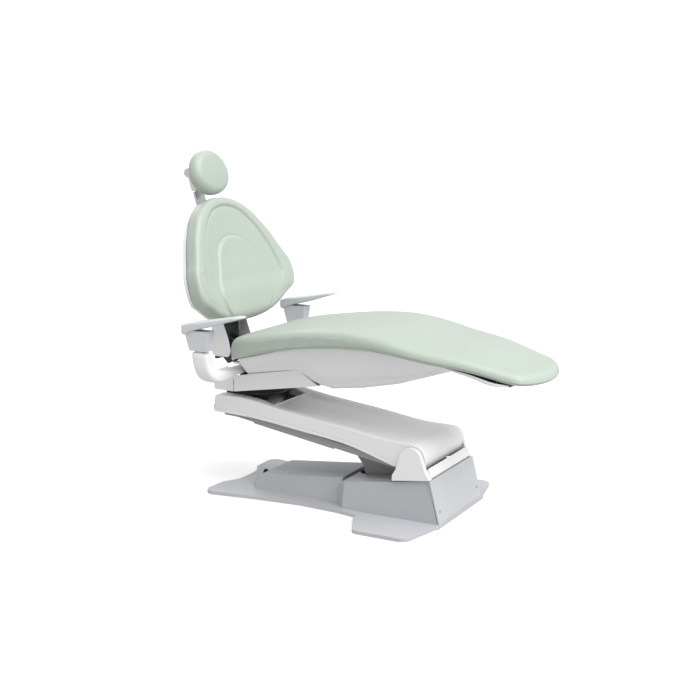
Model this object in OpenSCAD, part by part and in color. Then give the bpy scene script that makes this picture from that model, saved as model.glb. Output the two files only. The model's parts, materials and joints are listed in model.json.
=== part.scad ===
// Dental patient chair on a parallel lift arm.
// Frame: +X towards the toes, +Y the patient's left, +Z up, origin on the floor under the floor plate.

/* [Base] */
// Length of the floor plate from the rear corners to the front edge
plate_len = 865; // [845:1:885]
// Thickness of the floor plate
plate_t = 12; // [10:1:14]
// Half width of the floor plate at its wings
wing_y = 345; // [330:1:360]
// Radius of the anchor holes
anchor_r = 7; // [6:0.5:8]

/* [Lift arm] */
// Half width of the arm's cover
arm_y = 148; // [146:1:150]
// Wall of the plastic covers
wall = 4; // [3:0.5:5]

/* [Seat] */
// Half width of the seat cushion
seat_y = 250; // [240:1:256]
// Half width of the seat's underside shell
shell_y = 205; // [198:1:212]

/* [Back] */
// Lean of the back from upright, in degrees
lean = 16; // [15.5:0.1:16.5]
// Thickness of the back cushion
back_t = 56; // [50:1:58]
// Radius of the hollow across the back's front face
back_hollow_r = 1040; // [1000:10:1100]

/* [Armrests] */
// Distance from the middle plane to an armrest's pivot
rest_y = 310; // [306:1:314]
// Half width of an armrest's pad
pad_y = 31; // [28:1:33]

/* [Hidden] */
$fn = 64;
run_fit = 0.05;
plate_rear = -480;
plate_front = plate_rear + plate_len;

// Pivots as [x, z]: lift arm, parallel link, head of both, cylinder ends, seat, back, crank, tilt actuator
arm_p = [268, 204];
head_p = [-440, 316];
link_drop = 38;
link_p = arm_p - [0, link_drop];
link_head_p = head_p - [0, link_drop];
cyl_base = [150, 42];
cyl_top = [40, 240];
seat_p = [-330, 440];
back_p = [-450, 480];
crank_r = 50;
crank_rest = 34.5;
crank_p = back_p - crank_r * [sin(crank_rest), cos(crank_rest)];
tilt_base = [-300, 395];
tilt_top = [-160, 475];
turret_x = -385;
rest_x = -420;

// Pin radii
arm_pin_r = 12;
link_pin_r = 8;
cyl_pin_r = 9;
seat_pin_r = 10;
back_pin_r = 9;
crank_pin_r = 7;
rest_pin_r = 10;

// Levels on the turret
turret_top = 340;
bearing_h = 16;
hub_z = turret_top + bearing_h;
hub_t = 10;
spindle_r = 30;

// Back's own frame: its front face's lowest middle point, then along the lean
back_x = -421;
back_z = 580;
shell_gap = 1;
back_shell_t = 13;
bar_n = -86;
bar_t = 8;
bar_w = 56;
knuckle_s = 490;
head_s = 545;

// ---------- helpers ----------

// Points of an arc from angle a to b
function arc(c, r, a, b, n = 8) =
    [for (i = [0 : n]) c + r * [cos(a + (b - a) * i / n), sin(a + (b - a) * i / n)]];
// A half outline and its mirror image in the second coordinate
function both_sides(pts) = concat(pts, [for (i = [len(pts) - 1 : -1 : 0]) [pts[i][0], -pts[i][1]]]);
// A profile in X and Z, extruded over the middle plane from -y to y
module side(y) { rotate([90, 0, 0]) linear_extrude(2 * y, center = true) children(); }
// The same profile as two plates between |y| = a and |y| = b
module cheeks(a, b) {
    for (s = [-1, 1]) translate([0, s * (a + b) / 2, 0])
        rotate([90, 0, 0]) linear_extrude(b - a, center = true) children();
}
// A pin or bore along Y
module pin(p, r, y) {
    translate([p[0], 0, p[1]]) rotate([90, 0, 0]) cylinder(r = r, h = 2 * y, center = true);
}
// Children are drawn along local Z and placed from p towards q
module along(p, q) {
    d = q - p;
    translate([p[0], 0, p[1]]) rotate([0, atan2(d[0], d[1]), 0]) children();
}
// The back's own frame: local X out of the front face, local Z up along the lean
module at_back() { translate([back_x, 0, back_z]) rotate([0, -lean, 0]) children(); }
module mirrored_y(s) { scale([1, s, 1]) children(); }

// ---------- base ----------

plate_half = concat(
    [[plate_rear + 38, 0], [plate_rear + 34, 60], [plate_rear + 4, 112]],
    arc([plate_rear + 34, 190], 34, 190, 90, 6),
    [[-290, 200], [-120, 184], [20, 192], [106, 208], [106, 232]],
    arc([178, 320], wing_y - 320, 160, 90, 6),
    [[305, wing_y]],
    arc([318, wing_y - 34], 34, 80, 20, 5),
    [[plate_front - 8, 196], [plate_front, 184], [plate_front, 0]]);
anchor_x = [-300, 330];
anchor_y = 90;
screw_at = [[-250, 95], [300, 140]];
screw_r = 6;

module base_plate() color("gainsboro") difference() {
    linear_extrude(plate_t) polygon(both_sides(plate_half));
    for (x = anchor_x, s = [-1, 1]) translate([x, s * anchor_y, -1]) cylinder(r = anchor_r, h = plate_t + 2);
    for (p = screw_at, s = [-1, 1]) translate([p[0], s * p[1], -1]) cylinder(r = screw_r, h = plate_t + 2);
}

module levelling_screws() color("silver") for (p = screw_at, s = [-1, 1]) translate([p[0], s * p[1], 0.5])
    difference() {
        cylinder(r = screw_r, h = 24);
        translate([0, 0, 18]) cylinder(r = 3, h = 7, $fn = 6);
    }

bracket_in = 98;
bracket_out = 110;
module pivot_bracket() color("dimgray") difference() {
    union() {
        cheeks(bracket_in, bracket_out) polygon(concat([[330, plate_t], [318, 112], [277, 142], [275, 178]],
            arc(arm_p, 27, -60, 180, 12), [[222, 150], [212, plate_t]]));
        translate([216, -bracket_out, plate_t]) cube([7, 2 * bracket_out, 48]);
        cheeks(18, 28) polygon(concat([[190, plate_t]], arc(cyl_base, 20, 0, 180, 10), [[120, plate_t]]));
    }
    pin(arm_p, arm_pin_r, bracket_out + 1);
    pin(link_p, link_pin_r, bracket_out + 1);
    pin(cyl_base, cyl_pin_r, 30);
}

module lift_pivot_pin() color("silver") pin(arm_p, arm_pin_r, bracket_out + 4);
module link_pivot_pin() color("silver") pin(link_p, link_pin_r, 138);
module cylinder_base_pin() color("silver") pin(cyl_base, cyl_pin_r, 31);

module hydraulic_pump() color("slategray") {
    translate([-154, 0, 46]) rotate([0, 90, 0]) cylinder(r = 24, h = 112);
    translate([-46, -34, plate_t + 10]) cube([34, 68, 44]);
    translate([-288, -38, plate_t + 6]) cube([136, 76, 34]);
    translate([-260, -20, plate_t]) cube([14, 40, 7]);
    translate([-34, -20, plate_t]) cube([14, 40, 11]);
}

module control_box() color("darkgray") translate([230, -80, plate_t]) difference() {
    cube([90, 160, 55]);
    translate([3, 3, 3]) cube([84, 154, 60]);
}

// A cover's hollow starts below its lower edge, so that it is open underneath
under = 30;
function rear_side(z0) = [[-362, z0], [-352, 42], [-320, 58], [-4, 92], [-4, z0]];
module rear_body(t) intersection() {
    side(200) offset(delta = -t) polygon(rear_side(t > 0 ? plate_t - under : plate_t));
    hull() {
        translate([0, 0, plate_t - under]) linear_extrude(1) offset(delta = -t)
            polygon(both_sides([[-362, 114], [-350, 128], [30, 140]]));
        translate([0, 0, 100]) linear_extrude(1) offset(delta = -t)
            polygon(both_sides([[-340, 60], [-320, 84], [30, 96]]));
    }
}
// The gland's hole is drawn with twelve flats in place of a round hole. They don't hold the gland
module rear_cover() color("lightsteelblue") difference() {
    rear_body(0);
    rear_body(wall);
    translate([-380, 0, 32]) rotate([0, 90, 0]) cylinder(r = gland_r + 0.4, h = 80, $fn = 12);
}

gland_r = 9;
module cable_gland() color("black") translate([-372, 0, 32]) rotate([0, 90, 0]) difference() {
    union() {
        cylinder(r = gland_r, h = 40);
        cylinder(r = gland_r + 4, h = 7, $fn = 6);
    }
    translate([0, 0, -1]) cylinder(r = 4.5, h = 60);
}

front_y = 176;
function front_side(z0) = [[0, z0], [0, plate_t], [6, 86], [24, 97], [200, 122], [341, 148], [341, 150],
    [374, plate_t], [374, z0]];
hole_y = 42;
hole_shape = concat(arc([80, 0], hole_y + 20, 90, 270, 12), arc([180, -hole_y], 20, -90, 0, 5),
    arc([180, hole_y], 20, 0, 90, 5));
module front_body(t) intersection() {
    side(200) offset(delta = -t) polygon(front_side(t > 0 ? plate_t - under : plate_t));
    hull() {
        translate([0, 0, plate_t - under]) linear_extrude(1) offset(delta = -t)
            polygon(both_sides([[0, 146], [34, front_y + 2], [400, front_y + 2]]));
        translate([0, 0, 150]) linear_extrude(1) offset(delta = -t)
            polygon(both_sides([[0, 112], [34, 146], [400, 165]]));
    }
}
module front_cover() color("lightsteelblue") difference() {
    front_body(0);
    front_body(wall);
    translate([0, 0, 60]) linear_extrude(80) polygon(hole_shape);
    for (s = [-1, 1]) translate([196, s * 104 - 12, 80]) cube([140, 24, 90]);
}

module at_end_screws() for (s = [-1, 1]) translate([371, s * 150, 48]) rotate([0, 76, 0]) children();
module front_end_cover() color("lightgray") difference() {
    side(172) polygon([[377, plate_t], [343.5, 147], [347.5, 149], [381, plate_t + 4], [381, plate_t]]);
    at_end_screws() translate([0, 0, -10]) cylinder(r = 3.6, h = 30);
}

hood_y = 172;
hood_in = 153;
module arm_hood() color("white") {
    cheeks(hood_in, hood_y) polygon(concat([[214, 150], [214, 132], [346, 150]], [[330, 172]],
        arc([277, 208], 38, 10, 150, 10), [[226, 170]]));
    side(hood_in) polygon([[326, 150], [346, 154], [338, 176], [334, 184], [328, 176]]);
}

module cover_screws() color("gray") at_end_screws() difference() {
    cylinder(r = 3.5, h = 6);
    translate([0, 0, 4]) cylinder(r = 1.6, h = 3, $fn = 6);
}

// ---------- lift arm ----------

arm_slope = atan2(head_p[1] - arm_p[1], arm_p[0] - head_p[0]);
function on_arm(x, h) = [x, head_p[1] - (x - head_p[0]) * tan(arm_slope) + h];
bush_t = 3;
module arm_frame() color("dimgray") difference() {
    union() {
        cheeks(82, 92) polygon(concat(arc(arm_p, 24, -90, 90, 10), [on_arm(200, 22), on_arm(-60, 15),
            on_arm(-230, 6), on_arm(-400, 3)], arc(head_p, 15.5, 60, 270, 12),
            [on_arm(-400, -20), on_arm(200, -24)]));
        for (p = [on_arm(-200, -6), on_arm(190, 0)]) pin(p, 9, 83);
        cheeks(12, 22) polygon(concat([on_arm(0, 18)], arc(cyl_top, 15, 180, 360, 8), [on_arm(80, 18)]));
        cheeks(12, 83) polygon([on_arm(-10, 14), on_arm(90, 14), on_arm(90, 20), on_arm(-10, 20)]);
    }
    pin(arm_p, arm_pin_r + bush_t, 100);
    pin(head_p, arm_pin_r, 100);
    pin(cyl_top, cyl_pin_r, 30);
}
module arm_bushes() color("goldenrod") for (s = [-1, 1]) translate([arm_p[0], s * 87, arm_p[1]])
    rotate([90, 0, 0]) difference() {
        cylinder(r = arm_pin_r + bush_t, h = 14, center = true);
        cylinder(r = arm_pin_r + run_fit, h = 16, center = true);
    }
module head_pivot_pin() color("silver") pin(head_p, arm_pin_r, yoke_out);
module cylinder_arm_pin() color("silver") pin(cyl_top, cyl_pin_r, 24);

cover_top = [[-482, 328], [-476, 332], [-400, 333], [-359, 331], [-204, 306], [32, 277], [206, 255]];
cover_low = [[225, 166], [199, 175], [32, 222], [-139, 245], [-362, 269], [-478, 270], [-482, 274]];
saddle = [[-490, 306], [-359, 306], [-204, 294], [60, 268], [170, 262], [170, 360], [-490, 360]];
cover_front_r = 54;
module arm_cover() color("white") difference() {
    side(arm_y) polygon(concat(cover_top, arc(arm_p, cover_front_r, 95, -60, 12), cover_low));
    difference() {
        side(arm_y - wall) polygon([[-478, 200], [-478, 328], [-362, 327], [-204, 302], [32, 273],
            [206, 250], [262, 253], [300, 242], [317, 212], [300, 130], [240, 130]]);
        side(98) polygon([[-500, 302], [-359, 302], [-204, 290], [60, 264], [174, 258], [174, 300],
            [-204, 330], [-500, 360]]);
    }
    side(94) polygon(saddle);
    translate([-500, -104, 292]) cube([238, 208, 80]);
    translate([-500, -104, 200]) cube([30, 208, 160]);
}

module arm_shroud() color("dimgray") difference() {
    side(52) polygon([[-6, 202], [50, 128], [72, 56], [176, 56], [166, 150], [150, 186]]);
    side(48) polygon([[2, 210], [55, 130], [76, 50], [172, 50], [162, 150], [142, 200]]);
    translate([-20, -60, 188]) cube([220, 120, 30]);
    translate([100, -27, 40]) cube([120, 54, 160]);
}

module parallel_link() color("gray") difference() {
    union() {
        cheeks(118, 134) polygon(concat(arc(link_head_p, 14, 90, 270, 8), [on_arm(-400, -link_drop - 12),
            on_arm(200, -link_drop - 12)], arc(link_p, 14, -90, 90, 8),
            [on_arm(200, -link_drop + 11), on_arm(-400, -link_drop + 11)]));
        side(134) polygon([on_arm(-330, -link_drop - 16), on_arm(-20, -link_drop - 16),
            on_arm(-20, -link_drop - 11), on_arm(-330, -link_drop - 11)]);
    }
    pin(link_p, link_pin_r + run_fit, 140);
    pin(link_head_p, link_pin_r + 0.6, 140);
}

barrel_from = 24;
barrel_to = 132;
module lift_barrel() color("darkgray") along(cyl_base, cyl_top) difference() {
    union() {
        rotate([90, 0, 0]) cylinder(r = 16, h = 34, center = true);
        cylinder(r = 15, h = barrel_from + 1);
        translate([0, 0, barrel_from]) cylinder(r = 22, h = barrel_to - barrel_from);
    }
    rotate([90, 0, 0]) cylinder(r = cyl_pin_r + run_fit, h = 60, center = true);
    translate([0, 0, barrel_from + 10]) cylinder(r = 11 + run_fit, h = barrel_to);
}
cyl_len = norm(cyl_top - cyl_base);
module lift_rod() color("silver") along(cyl_base, cyl_top) difference() {
    union() {
        translate([0, 0, 76]) cylinder(r = 11, h = cyl_len - 76 - 10);
        translate([0, 0, cyl_len]) rotate([90, 0, 0]) cylinder(r = 19, h = 20, center = true);
    }
    translate([0, 0, cyl_len]) rotate([90, 0, 0]) cylinder(r = cyl_pin_r + 3.4, h = 30, center = true);
}

// ---------- turret ----------

yoke_in = 94.5;
yoke_out = 102.5;
module turret_head() color("dimgray") difference() {
    union() {
        translate([turret_x, 0, turret_top - 8]) cylinder(r = 97, h = 8);
        translate([turret_x, 0, turret_top - 8])
            cylinder(r = spindle_r, h = hub_z + hub_t + 6 - turret_top + 8);
        intersection() {
            side(75) polygon([[-474, 262], [-480, turret_top - 8], [-300, turret_top - 8], [-330, 290],
                [-370, 262]]);
            translate([-600, -76, 200]) cube([400, 152, 200]);
        }
        cheeks(yoke_in, yoke_out)
            polygon(concat(arc(head_p, 16, 200, -20, 12), arc(link_head_p, 15, 0, -180, 10)));
        side(97) polygon([[-474, 251], [-474, 261], [-372, 255.5], [-380, 246]]);
        for (s = [-1, 1]) translate([-455, s * 86 - 16.5, 256]) cube([30, 33, 12]);
    }
    pin(head_p, arm_pin_r + run_fit, 120);
    pin(link_head_p, link_pin_r, 120);
    side(64) polygon([[-500, 250], [-500, 322], [-330, 322], [-350, 290], [-385, 250]]);
}
module link_head_pin() color("silver") pin(link_head_p, link_pin_r, 136);
module turret_bearing() color("silver") translate([turret_x, 0, turret_top]) difference() {
    cylinder(r = 80, h = bearing_h);
    translate([0, 0, -1]) cylinder(r = 52, h = bearing_h + 2);
}
module turret_gasket() color("black") translate([turret_x, 0, turret_top]) difference() {
    cylinder(r = 101, h = 8);
    translate([0, 0, -1]) cylinder(r = 84, h = 12);
}

// ---------- hub ----------

ear_in = 60;
ear_out = 70;
module hub_plate() color("dimgray") difference() {
    union() {
        translate([turret_x, 0, hub_z]) cylinder(r = 95, h = hub_t);
        translate([turret_x, -ear_out, hub_z]) cube([88, 2 * ear_out, hub_t]);
        cheeks(ear_in, ear_out) polygon(concat([[-385, hub_z], [-385, 380]], arc(seat_p, 18, 180, 0, 10),
            [[-264, 392], [-297, 373], [-297, hub_z]]));
        cheeks(ear_out - 1, 112) polygon([[-398, hub_z], [-398, 416], [-360, 416], [-360, hub_z]]);
    }
    translate([turret_x, 0, hub_z - 1]) cylinder(r = spindle_r + run_fit, h = hub_t + 12);
    pin(seat_p, seat_pin_r, 90);
    translate([tilt_base[0], ear_in - 4, tilt_base[1]]) rotate([-90, 0, 0])
        cylinder(r = crank_pin_r + run_fit, h = ear_out - ear_in + 8);
}

hub_y = 150;
hub_low = 352;
hub_side = [[-398, hub_low], [-398, 407], [-377, 411], [-144, 453], [-68, 405]];
module hub_cover() color("whitesmoke") difference() {
    union() {
        difference() {
            side(hub_y) polygon(hub_side);
            side(hub_y - wall) polygon([[-399, hub_low + wall], [-399, 470], [-60, 470], [-60, 410.5]]);
        }
        translate([brake_p[0], hub_y - 22, brake_p[1]]) rotate([-90, 0, 0]) cylinder(r = 10, h = 20);
    }
    hub_floor_hole();
    translate([brake_p[0], 100, brake_p[1]]) rotate([-90, 0, 0]) cylinder(r = 5 + run_fit, h = 80);
}
module hub_floor_hole() {
    translate([turret_x, 0, hub_low - 10]) cylinder(r = 97, h = 40);
    translate([-402, -ear_out - 2, hub_low - 10]) cube([108, 2 * ear_out + 4, 40]);
    translate([-402, -114, hub_low - 10]) cube([45, 228, 40]);
}
module turntable_ring() color("black") difference() {
    translate([turret_x, 0, hub_low]) cylinder(r = 122, h = 40);
    translate([turret_x, 0, hub_low - 1]) cylinder(r = 117, h = 50);
    side(200) polygon([[-401, hub_low - 1], [-401, hub_low + 60], [-520, hub_low + 60], [-520, hub_low - 1]]);
    side(200) polygon([[-402, hub_low - 1.2], [-402, hub_low + 60], [-200, hub_low + 60], [-200, 382.8]]);
}
module hub_rear_cover() color("whitesmoke") difference() {
    side(hub_y)
        polygon([[-401, hub_low], [-474, hub_low], [-480, 358], [-476, 416], [-468, 422], [-401, 408]]);
    side(hub_y - wall) polygon([[-400, hub_low + wall], [-472, hub_low + wall], [-475, 360], [-471, 414],
        [-465, 418], [-400, 404]]);
    translate([-490, -84, 360]) cube([100, 168, 72]);
    translate([turret_x, 0, hub_low - 10]) cylinder(r = 97, h = 30);
}

module armrest_bracket(s) color("whitesmoke") mirrored_y(s) difference() {
    union() {
        hull() {
            translate([-449, rest_y - 18, 512]) cube([62, 36, 5]);
            translate([-436, rest_y - 16, 440]) cube([50, 30, 4]);
            translate([-426, rest_y - 24, 418]) cube([34, 24, 4]);
        }
        hull() {
            translate([-436, rest_y - 16, 440]) cube([50, 30, 4]);
            translate([-426, rest_y - 24, 418]) cube([34, 24, 4]);
            translate([-402, 200, 417]) cube([42, 6, 26]);
        }
        translate([-400, 74, 417]) cube([40, 132, 26]);
    }
    translate([rest_x, rest_y, 470]) cylinder(r = rest_pin_r, h = 60);
}
module armrest_bracket_right() armrest_bracket(-1);
module armrest_bracket_left() armrest_bracket(1);
module armrest_pins() color("silver") for (s = [-1, 1]) translate([rest_x, s * rest_y, 474])
    cylinder(r = rest_pin_r, h = 90);
module seat_hinge_pin() color("silver") for (s = [-1, 1]) translate([seat_p[0], s * 71, seat_p[1]])
    rotate([90, 0, 0]) cylinder(r = seat_pin_r, h = 34, center = true);

brake_p = [-250, 398];
module brake_lever() color("dimgray") {
    translate([brake_p[0], 124, brake_p[1]]) rotate([-90, 0, 0]) cylinder(r = 5, h = 42);
    translate([brake_p[0], 158, brake_p[1]]) rotate([-90, 0, 0]) cylinder(r = 9, h = 10);
    translate([brake_p[0] - 5, 160, brake_p[1] - 5]) cube([70, 7, 10]);
}

// ---------- seat ----------

seat_top = [[-362, 520], [-352, 543], [-330, 558], [-277, 571], [-145, 594], [-4, 611], [80, 614], [150, 610],
    [200, 603], [265, 590], [330, 576], [413, 563], [464, 554], [527, 536], [589, 517], [640, 507],
    [674, 500], [684, 490]];
seat_low = [[676, 476], [640, 474], [600, 482], [475, 514], [358, 532], [237, 550], [144, 558], [49, 555],
    [-81, 542], [-200, 518], [-272, 499], [-345, 480], [-358, 486]];
seat_plan = concat([[-362, 0], [-362, seat_y - 34]], arc([-328, seat_y - 34], 34, 180, 90, 5),
    [[200, seat_y], [330, seat_y - 8], [440, seat_y - 30], [530, seat_y - 58]],
    [for (a = [60 : -12 : 0]) [686 - 120 * (1 - cos(a)), 172 * sin(a) / sin(60)]]);
module seat_cushion() color("darkseagreen") intersection() {
    side(seat_y + 5) polygon(concat(seat_top, seat_low));
    translate([0, 0, 400]) linear_extrude(300) polygon(both_sides(seat_plan));
}

function below(pts, d) = [for (p = pts) p - [0, d]];
pan_line = [[-345, 478], [-272, 497], [-200, 516], [-81, 540], [49, 553], [144, 556], [237, 548], [358, 530],
    [475, 512], [560, 490]];
function reversed(pts) = [for (i = [len(pts) - 1 : -1 : 0]) pts[i]];
module seat_frame() color("dimgray") difference() {
    union() {
        side(180) polygon(concat(pan_line, reversed(below(pan_line, 6))));
        cheeks(74, 84)
            polygon(concat([[-346, 473], [-272, 491], [-81, 534], [49, 547], [144, 550], [237, 542],
            [358, 524], [372, 521.8], [372, 501], [340, 498], [120, 512], [-120, 480]],
            arc(seat_p, 17, -40, -180, 10)));
        cheeks(50, 59)
            polygon(concat([[-340, 474], [-345, 450], [-420, 462]], arc(back_p, 17, -90, -270, 10)));
        pin([-352, 463], 9, 84);
        translate([0, 33, 0]) side(5)
            polygon(concat([[-185, 517]], arc(tilt_top, 14, 180, 360, 8), [[-135, 526]]));
        translate([-230, -26, 446]) cube([30, 52, 59]);
        translate([-370, -26, 446]) cube([24, 52, 30]);
    }
    pin(seat_p, seat_pin_r + run_fit, 90);
    pin(back_p, back_pin_r, 70);
    translate([tilt_top[0], 20, tilt_top[1]]) rotate([-90, 0, 0]) cylinder(r = crank_pin_r + 0.6, h = 24);
}

// Sides of the shell, sloping in from half width y at the top by the same amount everywhere
module shell_slope(y) rotate([90, 0, 90]) linear_extrude(1400, center = true)
    polygon([[-y, 620], [-y, 520], [-y + shell_y - hub_y, 400], [y - shell_y + hub_y, 400], [y, 520],
        [y, 620]]);
shell_crease = [[-354, 472], [-349, 422], [-146, 457], [-62, 406], [-23, 401], [90, 416], [215, 442],
    [336, 482], [420, 502]];
shell_in = [[-350, 480], [-345, 427], [-146, 462], [-60, 410.5], [-23, 405], [90, 420], [214, 446],
    [334, 486], [420, 506]];
module seat_shell() color("whitesmoke") difference() {
    union() {
        intersection() {
            side(shell_y) polygon(concat(shell_crease,
                reversed([for (p = pan_line) if (p[0] < 420) p + [0, -1]])));
            shell_slope(shell_y);
        }
        side(hub_y - wall - 4) polygon([[-345, 432], [-342, 419], [-144, 408], [-90, 412], [-120, 462],
            [-144, 466]]);
    }
    intersection() {
        side(shell_y - wall)
            polygon(concat(shell_in, reversed([for (p = pan_line) if (p[0] < 420) p + [0, 6]])));
        shell_slope(shell_y - wall);
    }
    side(hub_y - 2 * wall - 4) polygon([[-360, 500], [-346, 400], [-66, 400], [-66, 470], [-140, 500]]);
}

module legrest_panel() color("whitesmoke") side(150)
    polygon([[424, 512.4], [475, 505.6], [560, 483.6], [600, 479], [598, 474], [545, 478], [475, 497],
        [424, 504]]);

module back_hinge_pin() color("silver") pin(back_p, back_pin_r, 62);

rod_z = 431;
module back_actuator() color("darkgray") difference() {
    union() {
        translate([-396, 0, rod_z]) rotate([0, 90, 0]) cylinder(r = 15, h = 216);
        translate([-226, -22, rod_z - 22]) cube([50, 44, 26]);
    }
    translate([-397, 0, rod_z]) rotate([0, 90, 0]) cylinder(r = 8 + run_fit, h = 211);
}
module back_rod() color("silver") {
    translate([-464, 0, rod_z]) rotate([0, 90, 0]) cylinder(r = 8, h = 212);
    side(7) difference() {
        translate([crank_p[0] - 16, rod_z - 17]) square([32, 44]);
        translate([crank_p[0] - 8, rod_z - 9]) square([16, 27]);
    }
}

// The tilt actuator lies on one side; its trunnions run in the hub's ear and in a lug of the seat frame
tilt_y = 50;
module tilt_barrel() color("darkgray") translate([0, tilt_y, 0]) along(tilt_base, tilt_top) difference() {
    union() {
        rotate([90, 0, 0]) cylinder(r = 12, h = 14, center = true);
        rotate([-90, 0, 0]) cylinder(r = crank_pin_r, h = ear_out - tilt_y);
        cylinder(r = 7.5, h = 106);
    }
    translate([0, 0, 18]) cylinder(r = 5 + run_fit, h = 100);
}
tilt_len = norm(tilt_top - tilt_base);
module tilt_rod() color("silver") translate([0, tilt_y, 0]) along(tilt_base, tilt_top) {
    translate([0, 0, 40]) cylinder(r = 5, h = tilt_len - 40);
    translate([0, 0, tilt_len]) rotate([90, 0, 0]) cylinder(r = 10, h = 16, center = true);
    translate([0, 0, tilt_len]) rotate([90, 0, 0]) cylinder(r = crank_pin_r, h = 23);
}

// ---------- back ----------

back_half = [[0, 0], [0, 60], [8, 126], [29, 193], [57, 240], [78, 285], [104, 299], [140, 302], [187, 294],
    [218, 274], [250, 256], [281, 239], [312, 220], [343, 194], [374, 170], [405, 130], [426, 90], [440, 40],
    [440, 0]];
module back_blank(inset, n0, n1) intersection() {
    rotate([0, -90, 0]) linear_extrude(240, center = true)
        offset(delta = -inset) polygon(both_sides(back_half));
    translate([back_hollow_r, 0, -20]) difference() {
        cylinder(r = back_hollow_r - n0, h = 500, $fn = 240);
        translate([0, 0, -1]) cylinder(r = back_hollow_r - n1, h = 502, $fn = 240);
    }
    translate([-200, -330, -20]) cube([400, 660, 500]);
}
module back_cushion() color("darkseagreen") at_back() back_blank(0, -back_t, 0);
module back_shell() color("gainsboro") at_back() back_blank(9, -back_t - shell_gap - back_shell_t,
    -back_t - shell_gap);

strap_n = -back_t - shell_gap - back_shell_t - 4;
module back_plate() color("#202224") difference() {
    union() {
        at_back() translate([strap_n - 9, -68, 50]) cube([9, 136, 190]);
        side(68) polygon([[-519, 640], [-519, 440], [-531, 440], [-531, 660], [-526, 680], [-519, 660]]);
        cheeks(20, 32) polygon(concat([[-525, 520], [-525, 442]], [[-500, 418]],
            arc(crank_p, 13, 250, 360, 6), arc(back_p, 17, -30, 90, 6)));
    }
    pin(back_p, back_pin_r + run_fit, 40);
    pin(crank_p, crank_pin_r, 40);
}
module crank_pin() color("silver") pin(crank_p, crank_pin_r, 33);

// Two cheeks that hide the back's hinge from the sides, each on a boss on the back plate's edge
module back_support_cover() color("white") {
    cheeks(70.5, 73.5) polygon(concat(arc([-516, 578], 22, 170, 20, 6), [[-486, 556], [-470, 512], [-462, 476]],
        arc([-478, 464], 14, 0, -90, 4), arc([-524, 466], 16, -90, -180, 4), [[-541, 500]]));
    cheeks(68, 70.5) polygon([[-531, 520], [-519, 520], [-519, 570], [-531, 570]]);
}

module headrest_guide() color("dimgray") at_back() difference() {
    translate([bar_n - bar_t / 2 - 8, -bar_w / 2 - 10, 250]) cube([bar_t + 16, bar_w + 20, 176]);
    translate([bar_n - bar_t / 2 - 0.3, -bar_w / 2 - 0.3, 240]) cube([bar_t + 0.6, bar_w + 0.6, 200]);
}

// ---------- headrest ----------

module glide_bar() color("silver") at_back() difference() {
    union() {
        translate([bar_n - bar_t / 2, -bar_w / 2, 262]) cube([bar_t, bar_w, knuckle_s - 262 - 14]);
        translate([bar_n - bar_t / 2, -12, knuckle_s - 16]) cube([bar_t, 24, 14]);
        translate([bar_n, 0, knuckle_s]) rotate([90, 0, 0]) cylinder(r = 11, h = 24, center = true);
    }
    translate([bar_n, 0, knuckle_s]) rotate([90, 0, 0]) cylinder(r = 5 + run_fit, h = 60, center = true);
}
module headrest_link() color("whitesmoke") at_back() difference() {
    union() {
        for (s = [-1, 1]) translate([bar_n, s * 18, 0]) rotate([90, 0, 0]) linear_extrude(10, center = true)
            polygon(concat(arc([0, knuckle_s], 12, 180, 360, 8), arc([0, head_s], 12, 0, 180, 8)));
        translate([bar_n, 0, knuckle_s]) rotate([90, 0, 0]) cylinder(r = 5, h = 48, center = true);
    }
    translate([bar_n, 0, head_s]) rotate([90, 0, 0]) cylinder(r = 5 + run_fit, h = 60, center = true);
}

head_n = 4;
head_t = 52;
head_z0 = 449;
head_half = [[0, 0], [2, 30], [14, 62], [34, 86], [60, 98], [90, 97], [118, 84], [142, 60], [156, 30],
    [160, 0]];
module headrest_blank(inset, n0, n1)
    translate([n0, 0, head_z0]) rotate([0, -90, 0]) translate([0, 0, -(n1 - n0)])
    linear_extrude(n1 - n0) offset(delta = -inset) polygon(both_sides(head_half));
module headrest_cushion() color("darkseagreen") at_back() headrest_blank(0, head_n - head_t, head_n);
module headrest_shell() color("whitesmoke") at_back() difference() {
    union() {
        headrest_blank(7, head_n - head_t - 12, head_n - head_t - 1);
        translate([bar_n, -11, head_s - 12]) cube([-bar_n + head_n - head_t - 8, 22, 24]);
        translate([bar_n, 0, head_s]) rotate([90, 0, 0]) cylinder(r = 12, h = 22, center = true);
    }
    translate([bar_n, 0, head_s]) rotate([90, 0, 0]) cylinder(r = 5 + run_fit, h = 60, center = true);
}
module headrest_knob() color("gainsboro") at_back() translate([bar_n, 0, head_s]) rotate([90, 0, 0]) {
    cylinder(r = 5, h = 56, center = true);
    translate([0, 0, 24.5]) cylinder(r = 16, h = 12);
}

// ---------- armrests ----------

module armrest_post(s) color("silver") mirrored_y(s) difference() {
    hull() {
        translate([-453, rest_y - 18, 519]) cube([68, 36, 4]);
        translate([-468, rest_y - 22, 580]) cube([92, 44, 6]);
    }
    translate([rest_x, rest_y, 500]) cylinder(r = rest_pin_r + run_fit, h = 66);
    translate([-480, rest_y - 40, 577.6]) rotate([0, -12, 0]) cube([140, 80, 60]);
}
module armrest_pad(s) color("gainsboro") translate([0, s * rest_y, 0]) intersection() {
    side(pad_y) polygon([[-477, 578.5], [-480, 584], [-479, 604], [-470, 609], [-262, 645], [-246, 643],
        [-246, 640], [-300, 624], [-380, 600]]);
    translate([0, 0, 560]) linear_extrude(100) polygon(both_sides(concat([[-480, 0], [-480, pad_y - 14]],
        arc([-466, pad_y - 14], 14, 180, 90, 4), [[-300, pad_y]], arc([-272, pad_y - 26], 26, 90, 0, 5))));
}
module armrest_post_right() armrest_post(-1);
module armrest_post_left() armrest_post(1);
module armrest_pad_right() armrest_pad(-1);
module armrest_pad_left() armrest_pad(1);

// ---------- nodes ----------

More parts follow.
